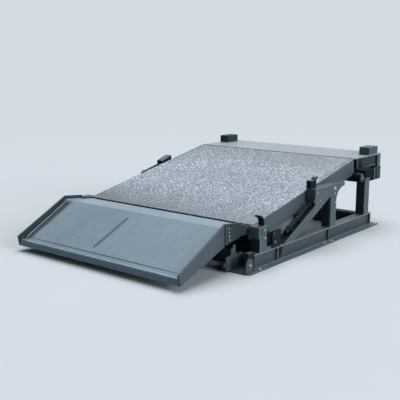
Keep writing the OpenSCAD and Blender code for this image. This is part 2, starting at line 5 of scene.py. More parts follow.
import bmesh
import bpy
import numpy as np
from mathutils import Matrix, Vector


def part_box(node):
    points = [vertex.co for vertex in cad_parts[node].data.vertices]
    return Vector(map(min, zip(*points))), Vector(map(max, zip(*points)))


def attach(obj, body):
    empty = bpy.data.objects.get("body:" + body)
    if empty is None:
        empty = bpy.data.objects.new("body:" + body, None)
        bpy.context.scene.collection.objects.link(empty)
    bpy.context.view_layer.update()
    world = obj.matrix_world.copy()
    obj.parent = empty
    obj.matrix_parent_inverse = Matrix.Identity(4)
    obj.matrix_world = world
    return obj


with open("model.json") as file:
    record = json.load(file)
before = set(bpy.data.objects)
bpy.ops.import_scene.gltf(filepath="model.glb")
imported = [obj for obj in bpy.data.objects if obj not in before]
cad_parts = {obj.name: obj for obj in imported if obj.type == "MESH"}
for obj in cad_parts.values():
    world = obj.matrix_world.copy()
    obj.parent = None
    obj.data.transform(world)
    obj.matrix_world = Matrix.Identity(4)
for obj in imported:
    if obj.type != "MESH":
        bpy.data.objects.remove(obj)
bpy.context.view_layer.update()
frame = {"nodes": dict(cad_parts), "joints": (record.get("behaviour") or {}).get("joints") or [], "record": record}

bl_info = {
    "name": "Dock leveler",
    "version": (1, 0, 0),
    "blender": (4, 5, 0),
    "location": "View3D > Sidebar > Leveler",
    "description": "Finishes and fittings of a dock leveler with a hinged deck and lip",
    "category": "Object",
}

NODES = frame["nodes"]
JOINTS = {j["name"]: np.array(j["pos_m"], float) for j in frame["joints"]}
MOUNTS = {m["name"]: m for m in frame["record"]["mounts"]}
DECK_AXIS, LIP_AXIS = JOINTS["deck_hinge"], JOINTS["lip_hinge"]
X, Y, Z = np.eye(3)

# Materials by finish, filled by the finishes step.
FINISHES = {}
# Angles in degrees above which an edge stays sharp, by the kind of piece.
FASTENER, PLATE, WELD, BEAD = 30.0, 40.0, 50.0, 60.0
# How far a bead's rim and a fastener's foot lie below the face that carries them.
BEAD_SUNK, FOOT_SUNK = 0.0003, 0.0005
# Slope of the braces, and the length and width of the plain edges at the deck's rear.
BRACE_SLOPE = math.radians(25.5)
PLAIN_LENGTH, PLAIN_WIDTH = 0.600, 0.030
DUST = (0.50, 0.51, 0.50)


def low(node):
    """Lowest corner of a CAD node."""
    return np.array(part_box(node)[0])


def high(node):
    """Highest corner of a CAD node."""
    return np.array(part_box(node)[1])


def middle(node):
    """Middle of a CAD node's box."""
    return (low(node) + high(node)) / 2


def half_size(node):
    """Half the size of a CAD node's box."""
    return (high(node) - low(node)) / 2


def ahead(y):
    """A place along Y from its distance ahead of the deck's hinge axis."""
    return DECK_AXIS[1] - y


def unit(v):
    """A vector at length one."""
    v = np.asarray(v, float)
    return v / np.linalg.norm(v)


def sloped(angle):
    """Directions up a slope that rises to the rear, and square to it."""
    c, s = math.cos(angle), math.sin(angle)
    return np.array([0, c, s]), np.array([0, -s, c])


class LevelerSizes(bpy.types.PropertyGroup):
    """Sizes of the fittings that a user may change."""
    deck_slope: bpy.props.FloatProperty(
        name="Deck slope", description="Slope of the lowered deck", default=math.radians(11.5), subtype="ANGLE")
    deck_rise: bpy.props.FloatProperty(
        name="Deck rise", description="Tread surface above the hinge axis", default=0.050, unit="LENGTH")
    deck_length: bpy.props.FloatProperty(
        name="Deck length", description="Length of the deck along its slope", default=1.658, unit="LENGTH")
    strip_rise: bpy.props.FloatProperty(
        name="Strip rise", description="Rise of the lip strip to its bend", default=math.radians(6.5), subtype="ANGLE")
    strip_length: bpy.props.FloatProperty(
        name="Strip length", description="Lip strip from its rear edge to the bend", default=0.300, unit="LENGTH")
    ramp_drop: bpy.props.FloatProperty(
        name="Ramp drop", description="Fall of the lip ramp", default=math.radians(27.0), subtype="ANGLE")
    ramp_length: bpy.props.FloatProperty(
        name="Ramp length", description="Lip ramp from the bend to the nose", default=0.575, unit="LENGTH")
    lip_rise: bpy.props.FloatProperty(
        name="Lip rise", description="Lip surface above the lip hinge", default=0.044, unit="LENGTH")
    strip_set: bpy.props.FloatProperty(
        name="Strip set", description="Rear edge of the lip ahead of its hinge", default=0.010, unit="LENGTH")
    bar_pitch: bpy.props.FloatProperty(
        name="Bar pitch", description="Distance between tread bars", default=0.0285, unit="LENGTH")
    bar_length: bpy.props.FloatProperty(
        name="Bar length", description="Length of a tread bar", default=0.0235, unit="LENGTH")
    bar_width: bpy.props.FloatProperty(
        name="Bar width", description="Width of a tread bar", default=0.0095, unit="LENGTH")
    bar_height: bpy.props.FloatProperty(
        name="Bar height", description="Height of a tread bar", default=0.0032, unit="LENGTH")
    weld_leg: bpy.props.FloatProperty(
        name="Weld leg", description="Leg of the fillet welds", default=0.006, unit="LENGTH")
    bolt_flats: bpy.props.FloatProperty(
        name="Bolt flats", description="Small bolts across their flats", default=0.013, unit="LENGTH")
    anchor_flats: bpy.props.FloatProperty(
        name="Anchor flats", description="Anchor nuts across their flats", default=0.030, unit="LENGTH")


class LevelerColours(bpy.types.PropertyGroup):
    """Colours of the finishes."""
    slate: bpy.props.FloatVectorProperty(
        name="Slate", description="Paint of the frame", subtype="COLOR", size=3, min=0, max=1,
        default=(0.078, 0.104, 0.122))
    # A darker copy of the slate: painted shade on pieces under the deck and in recesses, and the base of other dark
    # tones.
    shade: bpy.props.FloatVectorProperty(
        name="Shade", description="Paint of the pieces under the deck", subtype="COLOR", size=3, min=0, max=1,
        default=(0.034, 0.067, 0.080))
    # Near black that the painted shade masks and shade spots mix in.
    under: bpy.props.FloatVectorProperty(
        name="Undercoat", description="Black undercoat and grime", subtype="COLOR", size=3, min=0, max=1,
        default=(0.0030, 0.0085, 0.0120))
    lip_blue: bpy.props.FloatVectorProperty(
        name="Lip", description="Paint of the lip plate", subtype="COLOR", size=3, min=0, max=1,
        default=(0.225, 0.310, 0.385))
    pale: bpy.props.FloatVectorProperty(
        name="Rear plate", description="Paint of the rear plate", subtype="COLOR", size=3, min=0, max=1,
        default=(0.318, 0.360, 0.404))
    tread: bpy.props.FloatVectorProperty(
        name="Tread", description="Steel of the deck", subtype="COLOR", size=3, min=0, max=1,
        default=(0.292, 0.370, 0.468))
    black: bpy.props.FloatVectorProperty(
        name="Black", description="Paint of the lugs and hooks", subtype="COLOR", size=3, min=0, max=1,
        default=(0.0055, 0.0095, 0.0125))
    zinc: bpy.props.FloatVectorProperty(
        name="Zinc", description="Plating of the fasteners", subtype="COLOR", size=3, min=0, max=1,
        default=(0.600, 0.620, 0.640))
    floor: bpy.props.FloatVectorProperty(
        name="Floor", description="Studio floor", subtype="COLOR", size=3, min=0, max=1,
        default=(0.655, 0.708, 0.768))


def sizes():
    """The scene's sizes."""
    return bpy.context.scene.leveler_sizes


def colours():
    """The scene's colours."""
    return bpy.context.scene.leveler_colours


class Sock:
    """An output socket whose operators add Math nodes."""

    def __init__(self, net, out):
        self.net, self.out = net, out

    def math(self, operation, a, b):
        """One Math node on two values."""
        return self.net.node("Math", {0: a, 1: b}, operation=operation)

    def __add__(self, o):
        return self.math("ADD", self, o)

    def __sub__(self, o):
        return self.math("SUBTRACT", self, o)

    def __rsub__(self, o):
        return self.math("SUBTRACT", o, self)

    def __mul__(self, o):
        return self.math("MULTIPLY", self, o)

    def clip(self):
        """This value held between 0 and 1."""
        return self.net.node("Clamp", {0: self})


class Net:
    """The node tree of one material or world."""

    def __init__(self, owner):
        owner.use_nodes = True
        self.owner, self.tree = owner, owner.node_tree
        self.tree.nodes.clear()

    def node(self, kind, links=None, out=0, **settings):
        """Adds a node, sets it, then sets or links its sockets; gives one output."""
        n = self.tree.nodes.new("ShaderNode" + kind)
        for key, value in settings.items():
            setattr(n, key, value)
        for key, value in (links or {}).items():
            if isinstance(value, Sock):
                self.tree.links.new(value.out, n.inputs[key])
            else:
                n.inputs[key].default_value = value
        return Sock(self, n.outputs[out]) if n.outputs else None

    def coords(self, scale=(1, 1, 1)):
        """Object coordinates, scaled."""
        place = self.node("TexCoord", out="Object")
        return self.node("Mapping", {"Vector": place, "Scale": scale})

    def noise(self, vector, scale=1.0, detail=3.0):
        """Noise from 0 to 1."""
        return self.node("TexNoise", {
            "Vector": vector, "Scale": scale, "Detail": detail, "Roughness": 0.55})

    def span(self, value, a, b, to_a=0.0, to_b=1.0):
        """A value's stretch from a to b, mapped to another and clamped."""
        ends = {"From Min": a, "From Max": b, "To Min": to_a, "To Max": to_b}
        return self.node("MapRange", {"Value": value, **ends}, clamp=True)

    def patches(self, scale, detail, a, b, to_a=0.0, to_b=1.0):
        """Noise on the object whose stretch from a to b is mapped to another and clamped."""
        return self.span(self.noise(self.coords(), scale, detail), a, b, to_a, to_b)

    def mix(self, factor, a, b):
        """Two colours mixed."""
        full = lambda c: c if isinstance(c, Sock) else (*c, 1.0)
        return self.node("Mix", {0: factor, 6: full(a), 7: full(b)}, 2, data_type="RGBA")

    def vector(self, operation, a, b=(0, 0, 0), out="Value"):
        """One Vector Math node."""
        return self.node("VectorMath", {0: a, 1: b}, out, operation=operation)

    def part(self, vector, i):
        """One part of a vector or colour."""
        return self.node("SeparateXYZ", {0: vector}, i)

    def normal(self):
        """The direction that a face looks in."""
        return self.node("NewGeometry", out="Normal")

    def place(self, i):
        """One object coordinate."""
        return self.part(self.coords(), i)

    def facing(self, i):
        """One part of the direction that a face looks in."""
        return self.part(self.normal(), i)

    def edges(self, radius):
        """1 along the edges of a piece and 0 on its faces, from a rounded normal."""
        soft = self.node("Bevel", {"Radius": radius}, samples=4)
        return self.span(self.vector("DOT_PRODUCT", soft, self.normal()), 0.985, 0.80)

    def upward(self):
        """1 on faces that look up."""
        return self.span(self.facing(2), 0.75, 0.98)

    def forward(self):
        """1 on faces that look towards the lip."""
        return self.span(self.facing(1), -0.5, -0.9)

    def aside(self):
        """How far a face looks out from the leveler's middle, below 0 if it looks in."""
        return self.place(0) * self.facing(0)

    def bump(self, height, strength, distance):
        """A normal from a height."""
        return self.node("Bump", {"Height": height, "Strength": strength, "Distance": distance})

    def surface(self, colour, rough, normal, metal=0.0, shine=0.5):
        """The principled surface and the output; gives the material."""
        shader = self.node("BsdfPrincipled", {
            "Base Color": colour, "Roughness": rough, "Normal": normal, "Metallic": metal, "Coat Weight": 0.0,
            "Specular IOR Level": shine})
        self.node("OutputMaterial", {"Surface": shader})
        return self.owner


def tint(colour, k):
    """A colour made lighter or darker."""
    return tuple(min(1.0, c * k) for c in colour)


def orange_peel(n):
    """The fine grain of sprayed paint."""
    return n.bump(n.noise(n.coords(), 420.0, 2.0), 0.18, 0.0006)


def paint(name, colour, tone=1.0, gloss=0.42, wear=0.75, dust=0.08, shine=0.30, lit_tops=0.0, bright=2.3,
          shade_spot=None, shade_mask=None, highlight_mask=None):
    """Satin paint: cloudy tone, faint runs, orange peel, dust on top faces, rubbed edges that also carry a painted
    highlight, and a painted contact shadow at the foot.
    Tone lightens or darkens the colour, and the share for lit tops is how far painted light pales the faces that look
    up.
    A shade spot is a centre and a radius, the same on both sides, about which painted shade darkens the paint.
    A shade mask gives where painted shade covers the paint, a highlight mask where a painted highlight of bright
    times the colour lies."""
    colour = tint(colour, tone)
    n = Net(bpy.data.materials.new(name))
    place = n.coords()
    runs = n.noise(n.coords((16, 16, 1.6)))
    cloudy = n.span(n.noise(place, 1.7, 4.0) * 0.65 + runs * 0.35, 0.32, 0.68)
    base = n.mix(cloudy, tint(colour, 0.86), tint(colour, 1.14))
    dusty = n.upward() * n.patches(5.5, 5.0, 0.38, 0.72) * dust
    base = n.mix(dusty, base, DUST)
    if lit_tops:
        # Painted light: faces that look up are paled.
        base = n.mix(n.upward() * n.patches(11.0, 4.0, 0.30, 0.60, 0.6) * lit_tops, base, tint(colour, 3.2))
    if shade_mask:
        # Painted shade: the shade mask mixes in near black.
        base = n.mix(shade_mask(n), base, tuple(colours().under))
    if highlight_mask:
        # Painted highlight: a bright copy of the colour where the highlight mask is set.
        base = n.mix(highlight_mask(n) * n.patches(18.0, 3.0, 0.28, 0.50, 0.40), base, tint(colour, bright))
    # Rubbed edges, made lighter also as a painted highlight along every edge.
    rubbed = (n.edges(0.006) * n.patches(24.0, 4.0, 0.30, 0.56) * wear).clip()
    base = n.mix(rubbed, base, tint(colour, 3.4))
    # Painted contact shadow: near black below about 9 mm, where a piece stands on the floor.
    foot = n.span(n.place(2), 0.0090, 0.0078)
    base = n.mix(foot, base, tint(colour, 0.16))
    # Painted shade: near black round a centre, the same on both sides.
    if shade_spot:
        centre, radius = shade_spot
        away = n.vector("DISTANCE", n.vector("ABSOLUTE", place, out="Vector"), tuple(np.abs(centre)))
        spotted_shade = n.span(away + n.noise(place, 30.0) * 0.03, radius, radius * 0.72) * 0.97
        base = n.mix(spotted_shade, base, tuple(colours().under))
    rough = n.patches(95.0, 2.0, 0.3, 0.7, gloss - 0.05, gloss + 0.07)
    return n.surface(base, (rough + dusty * 0.3 - rubbed * 0.08).clip(), orange_peel(n), shine=shine)


def inner_shaded_paint(name, colour, shade_tone, bend):
    """Satin paint with painted shade on the faces that look towards the middle of the leveler.
    It darkens towards the lip's bend, where a black joint and a light edge begin the painted shade behind it."""
    n = Net(bpy.data.materials.new(name))
    # Faces that look towards the middle take painted shade.
    inside = n.span(n.aside(), -0.3, -0.6)
    tone = n.patches(2.4, 4.0, 0.34, 0.66)
    outer = n.mix(tone, tint(colour, 0.86), tint(colour, 1.14))
    behind = n.place(1) - bend
    # Darker towards the bend, a black joint at it, a lighter edge, then painted shade on the hinge cheek behind it.
    for start, end, share, coat in ((-0.150, -0.010, 0.55, tint(colour, 0.40)),
                                    (-0.020, -0.016, 0.95, tint(colour, 0.06)),
                                    (0.003, 0.006, 1.0, tint(colour, 0.80)),
                                    (0.014, 0.018, 0.97, shade_tone)):
        outer = n.mix(n.span(behind, start, end) * share, outer, coat)
    # Rubbed edges, made lighter also as a painted highlight.
    rubbed = n.edges(0.005) * n.patches(24.0, 4.0, 0.40, 0.66) * 0.45
    outer = n.mix(rubbed.clip(), outer, tint(colour, 3.0))
    inner = n.mix(tone, tint(shade_tone, 0.7), tint(shade_tone, 1.4))
    rough = n.patches(95.0, 2.0, 0.3, 0.7, 0.38, 0.52) + inside * 0.15
    return n.surface(n.mix(inside, outer, inner), rough, orange_peel(n), shine=0.30)


def tread_steel(name, colour, gloss, metal, contrast, end_darkening):
    """Galvanised steel: spangled tone, short scuffs, drag scratches and darkening towards the deck's two ends.
    Contrast is how far one spangle may differ from the next, end darkening how dark the two ends become."""
    n = Net(bpy.data.materials.new(name))
    place = n.coords()
    dark_tone = tint(colour, 0.30)
    cloud = n.noise(place, 2.6, 5.0)
    spangle = n.node("TexVoronoi", {"Vector": place, "Scale": 34.0}, "Color", feature="F1")
    flake = n.part(spangle, 0)
    drag = n.noise(n.coords((46, 2.2, 46)), 1.0, 4.0)
    scuff = n.span(n.noise(n.coords((56, 42, 42)), 1.0, 2.0), 0.44, 0.56)
    speck = n.noise(place, 150.0)
    tone = n.span(cloud, 0.30, 0.70) * (0.75 - contrast) + flake * contrast + n.span(drag, 0.35, 0.65) * 0.25
    base = n.mix(tone.clip(), tint(colour, 1 - contrast), tint(colour, 1 + contrast))
    base = n.mix(n.span(speck, 0.60, 0.74) * 0.35, base, tint(colour, 0.62))
    base = n.mix((scuff * contrast * 1.40).clip(), base, tint(colour, 0.20))
    base = n.mix(n.patches(1.5, 3.0, 0.40, 0.62) * 0.26, base, dark_tone)
    back, blur = n.place(1), 0.30
    lip_end = n.span(back + cloud * blur, ahead(1.20) + blur / 2, ahead(1.62) + blur / 2)
    lip_end = lip_end * n.span(n.place(0), -0.9, 0.9, 1.60, 0.52)
    rear_end = n.span(back - cloud * blur, ahead(0.55) - blur / 2, ahead(0.0) - blur / 2)
    rear_end = rear_end * n.span(scuff, 0.0, 1.0, 0.55)
    base = n.mix((lip_end * end_darkening).clip(), base, dark_tone)
    base = n.mix(rear_end * end_darkening, base, dark_tone)
    rough = n.span(drag * 0.5 + flake * 0.5, 0.25, 0.75, gloss - 0.07, gloss + 0.09)
    return n.surface(base, rough, n.bump(speck, 0.25, 0.0007), metal)


def bright_steel(name, colour, gloss, metal):
    """Plated or turned steel: brushed streaks and dull spots."""
    n = Net(bpy.data.materials.new(name))
    streak = n.noise(n.coords((260, 30, 260)))
    spot = n.noise(n.coords(), 60.0, 4.0)
    base = n.mix(n.span(streak, 0.35, 0.65), tint(colour, 0.82), tint(colour, 1.12))
    base = n.mix(n.span(spot, 0.58, 0.72) * 0.4, base, tint(colour, 0.55))
    rough = n.span(streak * 0.6 + spot * 0.4, 0.3, 0.7, gloss - 0.08, gloss + 0.10)
    return n.surface(base, rough, n.bump(streak, 0.12, 0.0004), metal)


def square_to(axis):
    """Two unit vectors square to an axis and to each other."""
    axis = unit(axis)
    side = unit(np.cross(axis, Z if abs(axis[2]) < 0.9 else X))
    return side, np.cross(axis, side)


class Shell:
    """Surfaces gathered into one mesh."""

    def __init__(self):
        self.points, self.quads, self.count = [], [], 0

    def take(self, points, quads):
        """Adds points and the quads that number them from 0."""
        self.points.append(points.reshape(-1, 3))
        self.quads.append(quads.reshape(-1, 4) + self.count)
        self.count += len(self.points[-1])
        return self

    def add(self, grid, wrap=True):
        """Adds a grid (rows, columns, 3) or a stack of equal ones; wrap joins the last column to the first."""
        i = np.arange(grid[..., 0].size).reshape(grid.shape[:-1])
        if wrap:
            i = np.concatenate([i, i[..., :1]], axis=-1)
        corners = i[..., :-1, :-1], i[..., :-1, 1:], i[..., 1:, 1:], i[..., 1:, :-1]
        return self.take(grid, np.stack(corners, axis=-1))

    def mirrored(self):
        """Adds the left-hand copy of all surfaces, with its faces turned back outwards."""
        return self.take(np.concatenate(self.points) * (-1, 1, 1), np.concatenate(self.quads)[:, ::-1])

    def mesh(self, name, crease=PLATE, merge=True):
        """Makes the mesh object. Edges above crease degrees stay sharp, and merge joins points that meet."""
        mesh = bpy.data.meshes.new(name)
        mesh.from_pydata(np.concatenate(self.points).tolist(), [], np.concatenate(self.quads).tolist())
        if merge:
            bm = bmesh.new()
            bm.from_mesh(mesh)
            bmesh.ops.remove_doubles(bm, verts=bm.verts, dist=1e-6)
            bmesh.ops.dissolve_degenerate(bm, edges=bm.edges, dist=1e-7)
            bm.to_mesh(mesh)
            bm.free()
        mesh.validate()
        mesh.polygons.foreach_set("use_smooth", np.ones(len(mesh.polygons), bool))
        mesh.set_sharp_from_angle(angle=math.radians(crease))
        obj = bpy.data.objects.new(name, mesh)
        bpy.context.scene.collection.objects.link(obj)
        return obj

    def piece(self, name, body, finish, slot, crease=PLATE, merge=True):
        """Makes the mesh object, gives it its finish and puts it on its body."""
        obj = self.mesh(name, crease, merge)
        obj.data.materials.append(FINISHES[finish])
        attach(obj, body)

    def pair(self, *what):
        """Makes the piece with its left-hand copy."""
        self.mirrored().piece(*what)

    def turned(self, profile, place, axis, n=24, flats=0):
        """A profile of (radius, height) pairs turned about an axis.
        With m flats, the radius at angle a is also held to a polygon: r cos(pi/m) / cos(a mod 2pi/m - pi/m)."""
        radius, height = np.asarray(profile, float).T[..., None, None]
        a = np.linspace(0, 2 * np.pi, n, endpoint=False)
        side, up = square_to(axis)
        scale = np.ones(n)
        if flats:
            scale = np.cos(np.pi / flats) / np.cos(np.mod(a, 2 * np.pi / flats) - np.pi / flats)
        ring = np.cos(a)[:, None] * side + np.sin(a)[:, None] * up
        grid = np.asarray(place, float) + height * unit(axis) + radius * scale[None, :, None] * ring[None]
        return self.add(grid[:, ::-1])

    def bolt(self, place, axis, flats, washer=False, stud=0.0):
        """Hexagon head, a prism whose top edge is turned down, with a washer and a thread end if asked."""
        r, h, base = flats / math.sqrt(3), flats * 0.62, 0.0
        if washer:
            base, w = flats * 0.14, flats * 1.02
            self.turned([(0, base), (w * 0.93, base), (w, base * 0.7), (w, 0), (0, 0)], place, axis)
        top = base + h
        head = [(0, top), (r * 0.80, top), (r * 0.86, top), (r, base + h * 0.86), (r, base), (0, base)]
        self.turned(head, place, axis, flats=6)
        if stud:
            s, end = flats * 0.31, top + stud
            self.turned([(0, end), (s * 0.8, end), (s, end - s * 0.25), (s, top), (0, top)], place, axis, 20)
        return self

    def dome(self, place, axis, r, height, lift, foot, n):
        """Domed head: height r cos t above its lift at radius r sin t, then the foot's profile."""
        t = np.linspace(0, np.pi / 2, n[0])
        head = np.stack([r * np.sin(t), lift + height * r * np.cos(t)], axis=1)
        return self.turned(np.vstack([head, foot]), place, axis, n[1])

    def weld(self, a, b, n1, n2, leg, seed):
        """Fillet bead from a to b in the corner of the directions n1 and n2.
        Across it runs a bulging quarter arc; along it the leg swells in ripples, and tapers at the ends."""
        a, b, n1, n2 = (np.asarray(v, float) for v in (a, b, n1, n2))
        step, pitch, sunk = 0.0035, 0.0075, 0.12
        length = np.linalg.norm(b - a)
        s = np.linspace(0, 1, int(np.clip(length / step, 8, 420)))
        ripple = np.abs(np.sin(np.pi * (s * length / pitch + 0.37 * seed)))
        wander = 0.08 * np.sin(s * length * 41 + seed) + 0.05 * np.sin(s * length * 97 + 2.1 * seed)
        ends = np.clip(np.minimum(s, 1 - s) * length / (1.2 * leg), 0, 1) ** 0.5
        size = leg * (0.86 + 0.16 * ripple + wander) * (0.25 + 0.75 * ends)
        t = np.linspace(0, np.pi / 2, 5)
        across = np.stack([np.cos(t), np.sin(t)], axis=1) * (1 - 0.16 * np.sin(2 * t))[:, None]
        across = np.vstack([[(1.0, -sunk)], across, [(-sunk, 1.0)]])
        offset = across[:, 0, None] * n1 + across[:, 1, None] * n2
        grid = (a + s[:, None] * (b - a))[:, None] + size[:, None, None] * offset[None]
        if np.dot(np.cross(b - a, n1), n2) < 0:
            grid = grid[:, ::-1]
        return self.add(grid, False)

    def ridge(self, a, b, side, up, width, height, rows=40):
        """Long pressed bead from a to b: height (1 - v^2)^2 across, faded over the ends by 1 - u^6."""
        u, v = np.linspace(-1, 1, rows), np.linspace(-1, 1, 13)
        fade = 1 - u ** 6
        centre = np.asarray(a) + (u[:, None] + 1) / 2 * (np.asarray(b) - np.asarray(a))
        h = height * fade[:, None] * ((1 - v ** 2) ** 2)[None] - BEAD_SUNK
        w = width / 2 * (0.35 + 0.65 * np.sqrt(np.clip(fade, 0, 1)))
        return self.add(centre[:, None] + (w[:, None] * v[None])[..., None] * side + h[..., None] * up, False)

    def plate(self, centre, ex, ey, half_x, half_y, t, r=0.006, soft=0.0015):
        """Flat plate on the plane of ex and ey, raised along their cross product.
        Its outline is a rectangle with quarter-round corners; its upper edge is drawn in along a quarter arc."""
        a = np.linspace(0, 2 * np.pi, 24, endpoint=False) + np.pi / 24
        outline = np.stack([np.sign(np.cos(a)) * (half_x - r) + r * np.cos(a),
                            np.sign(np.sin(a)) * (half_y - r) + r * np.sin(a)], axis=1)
        q = np.linspace(0, np.pi / 2, 4)
        inmost = min(half_x, half_y)
        inset = np.concatenate([[inmost, 0.0], soft * (1 - np.cos(q)), [inmost]])
        rise = np.concatenate([[0.0, 0.0], t - soft + soft * np.sin(q), [t]])
        flat = outline[None] * (1 - inset[:, None, None] / np.array([half_x, half_y]))
        raised = np.asarray(centre, float) + rise[:, None, None] * np.cross(ex, ey)
        return self.add(raised + flat[..., :1] * ex + flat[..., 1:] * ey)

    def slab(self, outline, up, steps):
        """Flat body over an outline that runs round against the clock seen from above.
        Each step is a scale about the outline's middle and a height, from the underside to the top."""
        mid = outline.mean(axis=0)
        return self.add(np.stack([mid + (outline - mid) * scale + rise * up for scale, rise in steps]))


def deck_point(x, along, above=0.0):
    """A place on the tread: along is the distance from the rear hinge towards the lip."""
    e, up = sloped(sizes().deck_slope)
    x, along, above = np.broadcast_arrays(*(np.asarray(v, float) for v in (x, along, above)))
    return DECK_AXIS + x[..., None] * X - along[..., None] * e + (sizes().deck_rise + above)[..., None] * up


class Lip:
    """Rear edge, bend and tip of the lip's surface, the way from bend to tip, and the normals of strip and ramp."""

    def __init__(self):
        k = sizes()
        r, d = k.strip_rise, k.ramp_drop
        strip = np.array([0, -math.cos(r), math.sin(r)])
        self.strip_up = np.array([0, math.sin(r), math.cos(r)])
        self.ramp_up = np.array([0, -math.sin(d), math.cos(d)])
        self.rear = LIP_AXIS * (0, 1, 1) + k.lip_rise * self.strip_up + k.strip_set * strip
        self.bend = self.rear + k.strip_length * strip
        self.tip = self.bend + k.ramp_length * np.array([0, -math.cos(d), -math.sin(d)])
        self.down = unit(self.tip - self.bend)


def seen(n):
    """1 where the backdrop is looked at, directly or in a reflection."""
    ray = lambda kind: n.node("LightPath", out=kind)
    return (ray("Is Camera Ray") + ray("Is Glossy Ray") + ray("Is Transmission Ray")).clip()


def studio_floor(pale):
    """Round floor: radius and angle on a grid, which fades to the backdrop's tone far out."""
    bounce, fade_from, fade_to = (0.135, 0.205, 0.245), 3.0, 11.0
    r = np.concatenate([np.linspace(0, 6, 13), np.geomspace(7, 90, 16)])[:, None]
    a = np.linspace(0, 2 * np.pi, 72, endpoint=False)
    grid = np.stack([r * np.cos(a), r * np.sin(a), 0 * r * a], axis=-1)
    obj = Shell().add(grid[:, ::-1]).mesh("floor")
    n = Net(bpy.data.materials.new("studio_floor"))
    place = n.node("TexCoord", out="Object")
    far = n.vector("LENGTH", place)
    tone = n.mix(n.span(n.noise(place, 0.5), 0.3, 0.7), tint(pale, 0.985), tint(pale, 1.015))
    matt = n.node("BsdfDiffuse", {"Color": n.mix(seen(n), bounce, tone)})
    glow = n.node("Emission", {"Color": (*pale, 1.0), "Strength": 1.0})
    out = n.node("MixShader", {0: n.span(far, fade_from, fade_to), 1: matt, 2: glow})
    n.node("OutputMaterial", {"Surface": out})
    obj.data.materials.append(n.owner)


def studio_world(pale):
    """Pale backdrop for the camera and for reflections, with a weaker even light."""
    world = bpy.data.worlds.new("studio")
    bpy.context.scene.world = world
    n = Net(world)
    show = n.node("Background", {"Color": (*pale, 1.0), "Strength": 1.0})
    soft = n.node("Background", {"Color": (0.72, 0.87, 1.0, 1.0), "Strength": 0.10})
    out = n.node("MixShader", {0: seen(n), 1: soft, 2: show})
    n.node("OutputWorld", {"Surface": out})


def soft_sun(name, strength, towards, colour, angle):
    """A soft sun in the direction given."""
    data = bpy.data.lights.new(name, "SUN")
    data.energy = strength
    data.color = colour
    data.angle = angle
    obj = bpy.data.objects.new(name, data)
    obj.rotation_euler = Vector(towards).to_track_quat("Z", "Y").to_euler()
    obj.location = Vector(towards) * 8
    bpy.context.scene.collection.objects.link(obj)


class LEVELER_OT_stage(bpy.types.Operator):
    """Floor, light and camera"""
    bl_idname = "leveler.stage"
    bl_label = "Stage"

    def execute(self, context):
        scene = context.scene
        scene.view_settings.view_transform = "Standard"
        pale = tuple(colours().floor)
        studio_floor(pale)
        studio_world(pale)
        soft_sun("key", 2.50, (-0.16, 0.36, 0.92), (1.0, 0.985, 0.965), math.radians(52))
        soft_sun("side", 2.1, (0.94, 0.06, 0.33), (0.95, 0.98, 1.0), math.radians(40))
        cam = bpy.data.cameras.new("camera")
        cam.lens = 64.46
        cam.sensor_width = 36.0
        cam.clip_end = 200.0
        eye = bpy.data.objects.new("camera", cam)
        eye.location = (3.932, ahead(6.0337), 1.586)
        eye.rotation_euler = (math.radians(78.7), 0.0, math.radians(38.93))
        scene.collection.objects.link(eye)
        scene.camera = eye
        return {"FINISHED"}


